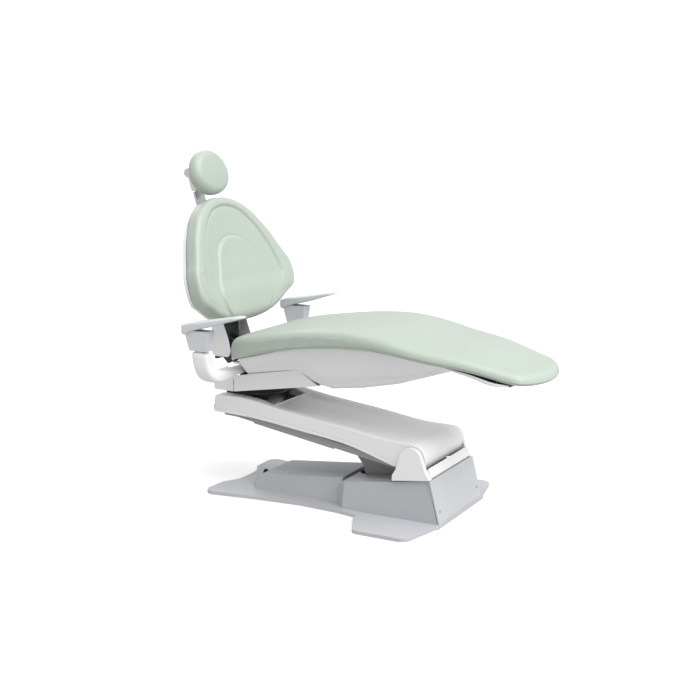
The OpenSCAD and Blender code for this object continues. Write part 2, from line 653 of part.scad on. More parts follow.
base_plate();
levelling_screws();
pivot_bracket();
lift_pivot_pin();
link_pivot_pin();
cylinder_base_pin();
hydraulic_pump();
control_box();
rear_cover();
front_cover();
front_end_cover();
arm_hood();
cover_screws();
cable_gland();
arm_frame();
arm_cover();
arm_shroud();
arm_bushes();
head_pivot_pin();
cylinder_arm_pin();
parallel_link();
lift_barrel();
lift_rod();
turret_head();
turret_bearing();
turret_gasket();
link_head_pin();
hub_plate();
turntable_ring();
hub_cover();
hub_rear_cover();
armrest_bracket_right();
armrest_bracket_left();
armrest_pins();
seat_hinge_pin();
brake_lever();
seat_frame();
seat_shell();
legrest_panel();
seat_cushion();
back_hinge_pin();
back_actuator();
back_rod();
tilt_barrel();
tilt_rod();
back_plate();
back_support_cover();
back_shell();
back_cushion();
headrest_guide();
crank_pin();
glide_bar();
headrest_link();
headrest_shell();
headrest_cushion();
headrest_knob();
armrest_post_right();
armrest_pad_right();
armrest_post_left();
armrest_pad_left();
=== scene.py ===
"""Dental patient chair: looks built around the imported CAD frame. Lengths in the tables are millimetres."""
import json
import math

import bmesh
import bpy
import numpy as np
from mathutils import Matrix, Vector


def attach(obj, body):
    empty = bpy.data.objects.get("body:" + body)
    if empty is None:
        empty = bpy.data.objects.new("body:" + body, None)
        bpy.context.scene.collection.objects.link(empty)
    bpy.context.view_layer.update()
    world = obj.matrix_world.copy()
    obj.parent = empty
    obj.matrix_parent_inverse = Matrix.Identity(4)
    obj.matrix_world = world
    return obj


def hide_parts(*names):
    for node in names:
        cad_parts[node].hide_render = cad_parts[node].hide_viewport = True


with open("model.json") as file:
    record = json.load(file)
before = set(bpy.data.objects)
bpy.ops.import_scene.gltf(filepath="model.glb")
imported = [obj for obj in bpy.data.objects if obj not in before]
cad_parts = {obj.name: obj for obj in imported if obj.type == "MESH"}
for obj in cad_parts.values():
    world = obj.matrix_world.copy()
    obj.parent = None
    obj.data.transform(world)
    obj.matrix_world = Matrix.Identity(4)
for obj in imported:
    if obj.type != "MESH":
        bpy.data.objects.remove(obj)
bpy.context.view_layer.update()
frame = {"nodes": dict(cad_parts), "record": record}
nodes = frame["nodes"]
MM = 0.001
LEAN = math.radians(16)  # of the back at rest
BACK_FOOT = (-421, 580)  # x and z where the back's own frame starts

TARGET = (-0.078, 0, 0.543)
AZIMUTH, ELEVATION, DISTANCE, LENS = 28.85, 10.39, 4.157, 65.96
FLOOR_HALF, FLOOR_Z = 90, -0.0006


# ---------- camera, light and floor ----------

def studio():
    scene = bpy.context.scene
    scene.view_settings.view_transform = "Standard"
    az, el = math.radians(AZIMUTH), math.radians(ELEVATION)
    back = Vector((math.sin(az) * math.cos(el), -math.cos(az) * math.cos(el), math.sin(el)))
    cam = bpy.data.objects.new("camera", bpy.data.cameras.new("camera"))
    cam.data.sensor_width, cam.data.lens = 36, LENS
    cam.location = Vector(TARGET) + back * DISTANCE
    cam.rotation_mode = "QUATERNION"
    cam.rotation_quaternion = (-back).to_track_quat("-Z", "Y")
    scene.collection.objects.link(cam)
    scene.camera = cam
    world = bpy.data.worlds.new("world")
    world.use_nodes = True
    nt = world.node_tree
    room = nt.nodes["Background"]
    room.inputs["Color"].default_value = (1.0, 1.0, 1.0, 1)
    room.inputs["Strength"].default_value = 0.72
    backdrop = nt.nodes.new("ShaderNodeBackground")
    backdrop.inputs["Strength"].default_value = 3.0
    path = nt.nodes.new("ShaderNodeLightPath")
    mix = nt.nodes.new("ShaderNodeMixShader")
    nt.links.new(path.outputs["Is Camera Ray"], mix.inputs[0])
    nt.links.new(room.outputs[0], mix.inputs[1])
    nt.links.new(backdrop.outputs[0], mix.inputs[2])
    nt.links.new(mix.outputs[0], nt.nodes["World Output"].inputs["Surface"])
    scene.world = world
    sun = bpy.data.objects.new("ceiling", bpy.data.lights.new("ceiling", "SUN"))
    sun.data.energy, sun.data.angle = 2.7, math.radians(60)
    sun.rotation_mode = "QUATERNION"
    sun.rotation_quaternion = Vector((-0.5, 0.12, -0.86)).to_track_quat("-Z", "Y")
    scene.collection.objects.link(sun)
    for name, at, size, power in (("front", (3.2, -0.6, 2.2), 1.8, 30), ("rear", (-2.6, 1.8, 2.6), 2.0, 16)):
        light = bpy.data.objects.new(name, bpy.data.lights.new(name, "AREA"))
        light.data.size, light.data.energy = size, power
        light.location = at
        light.rotation_mode = "QUATERNION"
        light.rotation_quaternion = (Vector((0, 0, 0.5)) - Vector(at)).to_track_quat("-Z", "Y")
        scene.collection.objects.link(light)
    me = bpy.data.meshes.new("floor")
    corners = [(x * FLOOR_HALF, y * FLOOR_HALF, FLOOR_Z) for x, y in ((-1, -1), (1, -1), (1, 1), (-1, 1))]
    me.from_pydata(corners, [], [(0, 1, 2, 3)])
    floor = bpy.data.objects.new("floor", me)
    scene.collection.objects.link(floor)
    paint = bpy.data.materials.new("floor_paint")
    paint.use_nodes = True
    shader = paint.node_tree.nodes["Principled BSDF"]
    shader.inputs["Base Color"].default_value = (0.62, 0.622, 0.625, 1)
    shader.inputs["Roughness"].default_value = 0.7
    shader.inputs["Emission Color"].default_value = (1, 1, 1, 1)
    shader.inputs["Emission Strength"].default_value = 0.42
    floor.data.materials.append(paint)
    floor.visible_diffuse = floor.visible_glossy = False


# ---------- materials ----------

def surface(name, colour, rough, metal=0.0, spread=0.03, blotch=6.0, grain=900.0, grain_depth=0.02, coat=0.0,
            cells=False, brushed=None, specular=0.5, edge=0.0, smudge=0.05):
    """A painted, moulded, sewn or ground surface: drifting colour and roughness, and a fine relief."""
    m = bpy.data.materials.new(name)
    m.use_nodes = True
    nt = m.node_tree
    b = nt.nodes["Principled BSDF"]
    b.inputs["Metallic"].default_value = metal
    b.inputs["Specular IOR Level"].default_value = specular
    b.inputs["Coat Weight"].default_value = coat
    b.inputs["Coat Roughness"].default_value = 0.22
    co = nt.nodes.new("ShaderNodeTexCoord")
    source = co.outputs["Object"]

    def noise(scale, detail=4.0, vector=None):
        n = nt.nodes.new("ShaderNodeTexNoise")
        n.inputs["Scale"].default_value = scale
        n.inputs["Detail"].default_value = detail
        nt.links.new(vector or source, n.inputs["Vector"])
        return n.outputs["Fac"]

    drift = nt.nodes.new("ShaderNodeValToRGB")
    lo = [max(0.0, c * (1 - spread)) for c in colour]
    hi = [min(1.0, c * (1 + spread)) for c in colour]
    drift.color_ramp.elements[0].position, drift.color_ramp.elements[1].position = 0.3, 0.7
    drift.color_ramp.elements[0].color, drift.color_ramp.elements[1].color = (*lo, 1), (*hi, 1)
    nt.links.new(noise(blotch), drift.inputs["Fac"])
    out = drift.outputs["Color"]
    if edge:
        geo = nt.nodes.new("ShaderNodeNewGeometry")
        ramp = nt.nodes.new("ShaderNodeMapRange")
        ramp.inputs["From Min"].default_value, ramp.inputs["From Max"].default_value = 0.52, 0.62
        nt.links.new(geo.outputs["Pointiness"], ramp.inputs["Value"])
        mix = nt.nodes.new("ShaderNodeMix")
        mix.data_type = "RGBA"
        nt.links.new(ramp.outputs["Result"], mix.inputs["Factor"])
        nt.links.new(out, mix.inputs["A"])
        mix.inputs["B"].default_value = (*[min(1, c * (1 + edge)) for c in colour], 1)
        out = mix.outputs["Result"]
    nt.links.new(out, b.inputs["Base Color"])
    r = nt.nodes.new("ShaderNodeMapRange")
    r.inputs["To Min"].default_value, r.inputs["To Max"].default_value = rough - smudge, rough + smudge
    nt.links.new(noise(blotch * 5, 6), r.inputs["Value"])
    nt.links.new(r.outputs["Result"], b.inputs["Roughness"])
    bump = nt.nodes.new("ShaderNodeBump")
    bump.inputs["Strength"].default_value = 0.5
    bump.inputs["Distance"].default_value = grain_depth * MM
    if brushed:
        mapping = nt.nodes.new("ShaderNodeMapping")
        mapping.inputs["Scale"].default_value = brushed
        nt.links.new(source, mapping.inputs["Vector"])
        nt.links.new(noise(grain, 2, mapping.outputs["Vector"]), bump.inputs["Height"])
    elif cells:
        v = nt.nodes.new("ShaderNodeTexVoronoi")
        v.feature = "DISTANCE_TO_EDGE"
        v.inputs["Scale"].default_value = grain
        warp = nt.nodes.new("ShaderNodeMixRGB")
        warp.inputs["Fac"].default_value = 0.004
        big = nt.nodes.new("ShaderNodeTexNoise")
        big.inputs["Scale"].default_value = grain * 0.4
        nt.links.new(source, big.inputs["Vector"])
        nt.links.new(source, warp.inputs[1])
        nt.links.new(big.outputs["Color"], warp.inputs[2])
        nt.links.new(warp.outputs["Color"], v.inputs["Vector"])
        cap = nt.nodes.new("ShaderNodeMapRange")
        cap.inputs["From Max"].default_value = 0.25
        nt.links.new(v.outputs["Distance"], cap.inputs["Value"])
        nt.links.new(cap.outputs["Result"], bump.inputs["Height"])
    else:
        nt.links.new(noise(grain, 3), bump.inputs["Height"])
    nt.links.new(bump.outputs["Normal"], b.inputs["Normal"])
    return m


def materials():
    return {
        "vinyl": surface("sage_vinyl", (0.40, 0.455, 0.40), 0.38, spread=0.02, blotch=5, grain=850,
                         grain_depth=0.10, cells=True, specular=0.45, coat=0.08),
        "white_plastic": surface("white_plastic", (0.80, 0.80, 0.797), 0.34, spread=0.012, grain=1400,
                                 grain_depth=0.015, coat=0.05),
        "white_casting": surface("white_casting", (0.79, 0.79, 0.785), 0.38, spread=0.015, grain=700,
                                 grain_depth=0.04),
        "grey_plastic": surface("rest_grey", (0.60, 0.62, 0.645), 0.45, spread=0.02, grain=1100,
                                grain_depth=0.05),
        "base_cover": surface("base_grey", (0.42, 0.428, 0.45), 0.44, spread=0.02, grain=1000,
                              grain_depth=0.06),
        "end_cover": surface("end_grey", (0.50, 0.51, 0.525), 0.42, spread=0.02, grain=1000,
                             grain_depth=0.06),
        "floor_plate": surface("plate_grey", (0.47, 0.48, 0.50), 0.4, spread=0.025, grain=500,
                               grain_depth=0.06),
        "link_paint": surface("link_grey", (0.30, 0.31, 0.325), 0.45, spread=0.04, grain=600,
                              grain_depth=0.05, edge=0.3),
        "shroud": surface("shroud_grey", (0.27, 0.27, 0.275), 0.5, spread=0.03, grain=900, grain_depth=0.05),
        "black_steel": surface("black_coat", (0.022, 0.023, 0.026), 0.42, spread=0.15, grain=650,
                               grain_depth=0.06, edge=0.8),
        "black_rubber": surface("black_rubber", (0.018, 0.018, 0.019), 0.72, spread=0.15, grain=800,
                                grain_depth=0.08),
        "black_knob": surface("black_knob", (0.03, 0.03, 0.032), 0.5, spread=0.1, grain=1200,
                              grain_depth=0.06),
        "control_paint": surface("control_paint", (0.24, 0.245, 0.255), 0.5, spread=0.04, grain=700,
                                 grain_depth=0.05),
        "steel": surface("ground_steel", (0.62, 0.63, 0.64), 0.26, metal=1.0, spread=0.04, grain=260,
                         grain_depth=0.03, brushed=(1, 14, 1)),
        "bronze": surface("turned_bronze", (0.62, 0.42, 0.2), 0.34, metal=1.0, spread=0.08, grain=300,
                          grain_depth=0.03, brushed=(1, 14, 1)),
    }


# ---------- mesh tools ----------

def new_object(name, verts, faces):
    me = bpy.data.meshes.new(name)
    me.from_pydata([tuple(float(c) for c in v) for v in verts], [], [tuple(f) for f in faces])
    me.validate()
    bm = bmesh.new()
    bm.from_mesh(me)
    bmesh.ops.recalc_face_normals(bm, faces=bm.faces)
    bm.to_mesh(me)
    bm.free()
    me.polygons.foreach_set("use_smooth", [True] * len(me.polygons))
    obj = bpy.data.objects.new(name, me)
    bpy.context.scene.collection.objects.link(obj)
    return obj


def points(obj):
    a = np.empty(len(obj.data.vertices) * 3)
    obj.data.vertices.foreach_get("co", a)
    return a.reshape(-1, 3)


def move_points(obj, co):
    obj.data.vertices.foreach_set("co", np.asarray(co, float).ravel())
    obj.data.update()


def bake_modifiers(obj):
    dg = bpy.context.evaluated_depsgraph_get()
    me = bpy.data.meshes.new_from_object(obj.evaluated_get(dg))
    obj.modifiers.clear()
    obj.data = me
    return obj


def subdivide(obj, levels):
    mod = obj.modifiers.new("subdivide", "SUBSURF")
    mod.levels = mod.render_levels = levels
    return bake_modifiers(obj)


def table(rows, x):
    """Smooth curve through (x, value) rows, without overshoot."""
    xs, ys = (np.array(c, float) for c in zip(*rows))
    h, d = np.diff(xs), np.diff(ys) / np.diff(xs)
    m = np.zeros(len(xs))
    m[0], m[-1] = d[0], d[-1]
    for i in range(1, len(xs) - 1):
        if d[i - 1] * d[i] > 0:
            w1, w2 = 2 * h[i] + h[i - 1], h[i] + 2 * h[i - 1]
            m[i] = (w1 + w2) / (w1 / d[i - 1] + w2 / d[i])
    x = np.clip(np.asarray(x, float), xs[0], xs[-1])
    i = np.clip(np.searchsorted(xs, x) - 1, 0, len(h) - 1)
    t = (x - xs[i]) / h[i]
    return ((2 * t**3 - 3 * t**2 + 1) * ys[i] + (t**3 - 2 * t**2 + t) * h[i] * m[i]
            + (-2 * t**3 + 3 * t**2) * ys[i + 1] + (t**3 - t**2) * h[i] * m[i + 1])


def rounded(outline, passes):
    """Corner cutting on a closed outline."""
    p = np.array(outline, float)
    for _ in range(passes):
        q = np.roll(p, -1, 0)
        p = np.stack([0.75 * p + 0.25 * q, 0.25 * p + 0.75 * q], 1).reshape(-1, 2)
    return p


def mirror(half):
    return list(half) + [(a, -b) for a, b in reversed(half) if abs(b) > 1e-9]


def distance(p, line):
    """Distance from each point of p to an open or closed line of points."""
    a, b = line[:-1], line[1:]
    best = np.full(len(p), 1e9)
    for s, e in zip(a, b):
        d = e - s
        t = np.clip(((p - s) @ d) / max(d @ d, 1e-12), 0, 1)
        best = np.minimum(best, np.linalg.norm(p - s - t[:, None] * d, axis=1))
    return best


def smooth_step(x):
    x = np.clip(x, 0, 1)
    return x * x * (3 - 2 * x)


def disc_pad(name, outline, centre, top, low, r_top, r_low, n=56):
    """A closed pad over a plan outline. top(a, b) and low(a, b) give its two faces.

    The rim is rounded by r_top and r_low."""
    closed = np.vstack([outline, outline[:1]])
    rel = closed - centre
    ang = np.unwrap(np.arctan2(rel[:, 1], rel[:, 0]))
    rad = np.linalg.norm(rel, axis=1)
    if ang[-1] < ang[0]:
        ang, rad = ang[::-1], rad[::-1]
    ang2 = np.concatenate([ang - 2 * math.pi, ang, ang + 2 * math.pi])
    rad2 = np.concatenate([rad, rad, rad])
    g = np.linspace(-1, 1, n + 1)
    u, v = np.meshgrid(g, g, indexing="ij")
    x, y = u * np.sqrt(1 - v**2 / 2), v * np.sqrt(1 - u**2 / 2)
    r, th = np.hypot(x, y), np.arctan2(y, x)
    r = np.clip(1 - (1 - np.clip(r, 0, 1)) ** 1.45, 0, 1)
    rho = np.interp(th, ang2, rad2)
    a, b = centre[0] + r * rho * np.cos(th), centre[1] + r * rho * np.sin(th)
    rim = (np.abs(u) > 1 - 1e-9) | (np.abs(v) > 1 - 1e-9)
    d = distance(np.stack([a.ravel(), b.ravel()], 1), closed).reshape(a.shape)
    d[rim] = 0

    def drop(radius):
        t = np.clip(1 - d / radius, 0, 1)
        return radius * (1 - np.sqrt(np.clip(1 - t * t, 0, 1)))

    zt = top(a, b) - drop(r_top)
    zl = low(a, b) + drop(r_low)
    verts, index = [], {}
    for side, z in ((0, zt), (1, zl)):
        for i in range(n + 1):
            for j in range(n + 1):
                index[side, i, j] = len(verts)
                verts.append((a[i, j], b[i, j], z[i, j]))
    faces = []
    for i in range(n):
        for j in range(n):
            faces.append([index[0, i, j], index[0, i + 1, j], index[0, i + 1, j + 1], index[0, i, j + 1]])
            faces.append([index[1, i, j], index[1, i, j + 1], index[1, i + 1, j + 1], index[1, i + 1, j]])
    ring = ([(i, 0) for i in range(n)] + [(n, j) for j in range(n)] + [(i, n) for i in range(n, 0, -1)]
            + [(0, j) for j in range(n, 0, -1)])
    for p, q in zip(ring, ring[1:] + ring[:1]):
        faces.append([index[0, *p], index[0, *q], index[1, *q], index[1, *p]])
    return new_object(name, verts, faces)


CLOTH_FRAMES = 20
CLOTH_CAP = 0.003


def inflate(obj, cap, pressure=4.0):
    """Cloth under pressure, without gravity, with each point's movement capped. The mesh is in metres here.
"""
    start = points(obj)
    mod = obj.modifiers.new("Cloth", "CLOTH")
    mod.settings.quality = 4
    mod.settings.mass = 0.25
    mod.settings.tension_stiffness = mod.settings.compression_stiffness = 30
    mod.settings.bending_stiffness = 4
    mod.settings.use_pressure = True
    mod.settings.uniform_pressure_force = pressure
    mod.settings.effector_weights.gravity = 0
    mod.point_cache.frame_start, mod.point_cache.frame_end = 1, CLOTH_FRAMES
    scene = bpy.context.scene
    for f in range(1, CLOTH_FRAMES + 1):
        scene.frame_set(f)
        dg = bpy.context.evaluated_depsgraph_get()
        obj.evaluated_get(dg)
    e = obj.evaluated_get(bpy.context.evaluated_depsgraph_get())
    end = np.array([v.co[:] for v in e.data.vertices])
    obj.modifiers.clear()
    scene.frame_set(1)
    move = end - start
    length = np.linalg.norm(move, axis=1, keepdims=True)
    move_points(obj, start + move * np.minimum(1, cap / np.maximum(length, 1e-9)))
    return obj


def finish_piece(obj, body, material, slot, *replaced):
    obj.data.materials.clear()
    obj.data.materials.append(material)
    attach(obj, body)
    if replaced:
        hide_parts(*replaced)
    return obj


def from_back(obj):
    """From the back's own frame, in millimetres, to the shared frame.

    The back's own frame runs up the lean, across, and out of the front."""
    c, s = math.cos(LEAN), math.sin(LEAN)
    p = points(obj)
    x, z = BACK_FOOT[0] + p[:, 2] * c - p[:, 0] * s, BACK_FOOT[1] + p[:, 2] * s + p[:, 0] * c
    move_points(obj, np.stack([x, p[:, 1], z], 1) * MM)
    return obj


def normals_of(obj):
    a = np.empty(len(obj.data.vertices) * 3)
    obj.data.vertices.foreach_get("normal", a)
    return a.reshape(-1, 3)


# ---------- cushions ----------

BACK_HALF = [(0, 0), (0, 60), (8, 126), (29, 193), (57, 240), (78, 285), (104, 299), (140, 302), (187, 294),
             (218, 274), (250, 256), (281, 239), (312, 220), (343, 194), (374, 170), (405, 130), (426, 90),
             (440, 40), (440, 0)]
OUTER_CHANNEL = [(96, 212), (125, 224), (156, 225), (187, 217), (218, 206), (250, 193), (281, 176),
                 (312, 157), (343, 130), (374, 99), (392, 66), (401, 30), (403, 0)]
LUMBAR = [(-6, 104), (20, 122), (52, 146), (94, 159), (125, 153), (156, 142), (187, 129), (218, 117),
          (250, 103), (276, 80), (294, 46), (300, 0)]
HEAD_HALF = [(0, 0), (2, 30), (14, 62), (34, 86), (60, 98), (90, 97), (118, 84), (142, 60), (156, 30),
             (160, 0)]
HEAD_FROM = 449
HEAD_MIDDLE = HEAD_FROM + 80.0
HOLLOW = 2080.0  # the back's depth across is the square of the distance from the middle over this


def hollow(y):
    return y * y / HOLLOW


def inside(p, line):
    """True for the points within a line's half widths. Below the line's start its first width goes on."""
    w = np.interp(p[:, 0], [a for a, _ in line], [b for _, b in line], left=line[0][1], right=-1)
    return np.abs(p[:, 1]) < w


def sewn(obj):
    """The back pad's two channels and its raised lumbar panel, pressed into the front face."""
    co, nor = points(obj), normals_of(obj)
    front = smooth_step((nor[:, 2] - 0.2) / 0.4)
    shift = np.zeros(len(co))
    for line, step, cut, wide in ((OUTER_CHANNEL, -5.0, 4.2, 6.0), (LUMBAR, 7.0, 4.6, 5.5)):
        curve = rounded(np.array(line + [(a, -b) for a, b in reversed(line)]), 2)
        d = distance(co[:, :2], curve[:-3])  # without most of the edge that closes the outline
        sign = np.where(inside(co, line), 1, -1)
        fade = smooth_step((co[:, 0] - 88) / 70) if line is OUTER_CHANNEL else smooth_step((co[:,
                                                                                               0] + 4) / 40)
        shift += fade * (step * smooth_step(0.5 + sign * d / 26) - cut * np.exp(-(d / wide) ** 2))
    shift += 5.0 * np.exp(-((co[:, 0] - 130) / 120) ** 2 - (co[:, 1] / 110) ** 2)
    co[:, 2] += front * shift
    move_points(obj, co)
    return obj


def in_metres(obj, work):
    """Runs work on the mesh scaled to metres, then scales it back to millimetres."""
    move_points(obj, points(obj) * MM)
    work(obj)
    move_points(obj, points(obj) / MM)
    return obj


def to_metres(obj):
    move_points(obj, points(obj) * MM)
    return obj


SEAT_TOP = [(-362, 541), (-345, 553), (-320, 561), (-277, 571), (-145, 593), (-4, 610), (80, 614),
            (150, 610), (200, 603), (265, 590), (330, 576), (413, 563), (464, 554), (527, 538), (589, 520),
            (640, 509), (688, 500)]
SEAT_LOW = [(-362, 478), (-345, 480), (-272, 500), (-200, 519), (-81, 543), (49, 556), (144, 559),
            (237, 551), (358, 533), (475, 515), (600, 483), (640, 476), (688, 470)]
SEAT_HALF = [(-362, 0), (-362, 216), (-352, 240), (-328, 250), (0, 250), (200, 250), (330, 242), (440, 220),
             (530, 194)]
SEAT_HALF += [(686 - 120 * (1 - math.cos(math.radians(a))),
               172 * math.sin(math.radians(a)) / math.sin(math.radians(60))) for a in (60, 48, 36, 24, 12, 0)]


def seat_top(a, b):
    """The seat's top, crowned across and dished where the patient sits."""
    dish = 2.5 * np.exp(-((a + 180) / 130) ** 2 - (b / 120) ** 2)
    return table(SEAT_TOP, a) + 3 - 7 * (b / 250) ** 2 - dish


def cushions(mat):
    vinyl = mat["vinyl"]
    # seat
    outline = rounded(mirror(SEAT_HALF), 2)
    seat = disc_pad("seat_pad", outline, np.array([160.0, 0.0]),
                    seat_top, lambda a, b: table(SEAT_LOW, a) + 0 * b, 24, 13, 72)
    in_metres(seat, lambda o: inflate(o, CLOTH_CAP))
    subdivide(seat, 2)
    finish_piece(to_metres(seat), "seat", vinyl, "vinyl", "seat_cushion")
    # back
    outline = rounded(mirror(BACK_HALF), 1)
    back = disc_pad("back_pad", outline, np.array([190.0, 0.0]), lambda a, b: hollow(b) + 0 * a,
                    lambda a, b: hollow(b) - 56 + 0 * a, 19, 12, 72)
    in_metres(back, lambda o: inflate(o, CLOTH_CAP))
    subdivide(back, 2)
    sewn(back)
    finish_piece(from_back(back), "back", vinyl, "vinyl", "back_cushion")
    # head
    outline = rounded([(HEAD_FROM + a, b) for a, b in mirror(HEAD_HALF)], 2)
    head = disc_pad("head_pad", outline, np.array([HEAD_MIDDLE, 0.0]),
                    lambda a, b: 7 - 12 * (((a - HEAD_MIDDLE) / 80) ** 2 + (b / 98) ** 2) * 0.6,
                    lambda a, b: -48 + 0 * a, 24, 18, 40)
    in_metres(head, lambda o: inflate(o, CLOTH_CAP))
    subdivide(head, 2)
    finish_piece(from_back(head), "headrest", vinyl, "vinyl", "headrest_cushion")


# ---------- hard parts ----------

SLOTS = {n["node"]: n["material_slot"] for n in frame["record"]["subparts"]}
ROUND = {"base_plate": 2.5, "rear_cover": 5, "front_cover": 5, "front_end_cover": 1.2, "arm_hood": 3,
         "arm_cover": 5, "hub_cover": 3, "hub_rear_cover": 3, "seat_shell": 3, "legrest_panel": 1.5,
         "armrest_bracket_right": 7, "armrest_bracket_left": 7, "armrest_post_right": 5,
         "armrest_post_left": 5, "armrest_pad_right": 4, "armrest_pad_left": 4, "headrest_shell": 4,
         "back_shell": 3, "back_support_cover": 1.2, "headrest_link": 2}


def hard_parts(mat):
    for name, obj in nodes.items():
        slot = "shroud" if name == "arm_shroud" else SLOTS[name]
        obj.data.materials.clear()
        obj.data.materials.append(mat[slot])
        weld = obj.modifiers.new("weld", "WELD")
        weld.merge_threshold = 1e-5
        flat = obj.modifiers.new("flat", "DECIMATE")
        flat.decimate_type = "DISSOLVE"
        flat.angle_limit = math.radians(1.5)
        bevel = obj.modifiers.new("bevel", "BEVEL")
        bevel.width = ROUND.get(name, 0.8) * MM
        bevel.segments = 4 if name in ROUND else 2
        bevel.limit_method = "ANGLE"
        bevel.angle_limit = math.radians(28)
        bevel.harden_normals = False
        obj.data.polygons.foreach_set("use_smooth", [True] * len(obj.data.polygons))
        obj.modifiers.new("normals", "WEIGHTED_NORMAL").keep_sharp = True


# ---------- covers with flowing shapes ----------

def shell(name, rows, thickness, hole=None):
    """A thin moulding through rows of points, thickened to the side that the sign of thickness says.

    hole(x, y, z) leaves out faces by their middle."""
    n = len(rows[0])
    verts = [p for row in rows for p in row]
    faces = []
    for i in range(len(rows) - 1):
        for j in range(n - 1):
            quad = [i * n + j, i * n + j + 1, (i + 1) * n + j + 1, (i + 1) * n + j]
            middle = np.mean([verts[v] for v in quad], 0)
            if not (hole and hole(*middle)):
                faces.append(quad)
    obj = new_object(name, verts, faces)
    bm = bmesh.new()
    bm.from_mesh(obj.data)
    bmesh.ops.remove_doubles(bm, verts=bm.verts, dist=0.05)
    bmesh.ops.dissolve_degenerate(bm, edges=bm.edges, dist=0.02)
    bmesh.ops.recalc_face_normals(bm, faces=bm.faces)
    bm.to_mesh(obj.data)
    bm.free()
    mod = obj.modifiers.new("wall", "SOLIDIFY")
    mod.thickness, mod.offset = thickness, -1
    bake_modifiers(obj)
    obj.data.polygons.foreach_set("use_smooth", [True] * len(obj.data.polygons))
    return to_metres(obj)


def soften(obj, width, segments=3, angle=30):
    bevel = obj.modifiers.new("bevel", "BEVEL")
    bevel.width, bevel.segments = width * MM, segments
    bevel.limit_method, bevel.angle_limit = "ANGLE", math.radians(angle)
    obj.modifiers.new("normals", "WEIGHTED_NORMAL").keep_sharp = True
    return obj


ARM_TOP = [(-470, 332.5), (-400, 333.5), (-359, 331), (-204, 307), (32, 278), (206, 255.5), (240, 254.5)]
ARM_LOW = [(-482, 272), (-362, 269), (-139, 245), (32, 222), (199, 175)]
SADDLE = [(-482, 0), (-285, 3), (-240, 16), (-204, 14), (60, 8), (150, 2), (190, 0)]

ARM_HALF = 148  # half widths of the cover and of the well at its rear
WELL_HALF, WELL_FRONT = 104, -262
NOSE_MIDDLE, NOSE_RADII = (268, 204), (54, 51)
NOSE_ANGLES = range(84, -43, -14)


def arm_profile():
    """The arm cover from the side: rear end, top and nose, each point with the lower edge's under it."""
    edge = [((-482, 272), (-482, 272)), ((-482, 290), (-481.9, 272)), ((-482, 312), (-481.8, 272)),
            ((-481.5, 322), (-481.6, 272)), ((-479, 328), (-480, 272)), ((-475, 331.4), (-476, 272))]
    for x in [-470, -440, -400, -380, -359, -330, -300, -262, -230, -204, -170, -130, -90, -50, -10, 32, 70,
              110, 150, 180, 206, 232]:
        low = (x, float(table(ARM_LOW, x))) if x < 206 else (206 + 0.2 * (x - 206), 173)
        edge.append(((x, float(table(ARM_TOP, x))), low))
    for i, a in enumerate(NOSE_ANGLES):
        t = (i + 1) / len(NOSE_ANGLES)
        c, q = math.cos(math.radians(a)), math.sin(math.radians(a))
        top = (NOSE_MIDDLE[0] + NOSE_RADII[0] * c, NOSE_MIDDLE[1] + NOSE_RADII[1] * q)
        edge.append((top, (212 + t * 96, 172 - t * 2.3)))
    return edge


def arm_cover(mat):
    edge = arm_profile()
    top = np.array([e[0] for e in edge], float)
    low = np.array([e[1] for e in edge], float)
    tangent = np.gradient(top, axis=0)
    normal = np.stack([-tangent[:, 1], tangent[:, 0]], 1)
    normal /= np.linalg.norm(normal, axis=1, keepdims=True)
    span = np.linalg.norm(top - low, axis=1, keepdims=True)
    fit = np.clip(span / 60, 0, 1)
    up = (top - low) / np.maximum(span, 1e-6)
    r = 6.0
    half = []
    for height, inset in ((0, 1.2), (1.2, 0), (10, 0), (11.4, 1.6), (13.4, 1.6), (14.8, 0), (26, 0)):
        half.append((ARM_HALF - inset, low + up * height * fit))
    for a in (0, 22, 45, 68, 90):
        c, q = math.cos(math.radians(a)), math.sin(math.radians(a))
        half.append((ARM_HALF - r * (1 - c), top - normal * r * (1 - q) * fit))
    sink = table(SADDLE, top[:, 0])
    for y in (134, 126, 118, 111, 104, 97, 90, 82, 60, 30, 0):
        half.append((y, top - np.stack([0 * sink, sink * smooth_step((132 - y) / 44)], 1)))
    rows = [[(p[0], -y, p[1]) for p in line] for y, line in half]
    rows += [[(p[0], y, p[1]) for p in line] for y, line in reversed(half[:-1])]
    well = []
    for x, side in ((-472, -1), (-360, -1), (WELL_FRONT, -1), (WELL_FRONT, 1), (-360, 1), (-472, 1)):
        well.append([(x, side * WELL_HALF, z) for z in (float(table(ARM_TOP, x)) - 5, 300)])
    wall = shell("arm_cover_well", well, 3)
    finish_piece(wall, "lift_arm", mat["white_plastic"], "white_plastic")
    obj = shell("arm_cover_skin", rows, 2.4, lambda x, y, z: x < WELL_FRONT and abs(y) < WELL_HALF)
    soften(obj, 0.6, 2, 40)
    return finish_piece(obj, "lift_arm", mat["white_plastic"], "white_plastic", "arm_cover")


SHELL_TOP = [(-345, 479), (-272, 498), (-200, 517), (-81, 541), (49, 554), (144, 557), (237, 549),
             (358, 531), (424, 518)]
SHELL_LOW = [(-352, 424), (-146, 455), (-100, 433), (-62, 409), (-23, 401), (90, 416), (215, 442),
             (336, 482), (424, 512)]


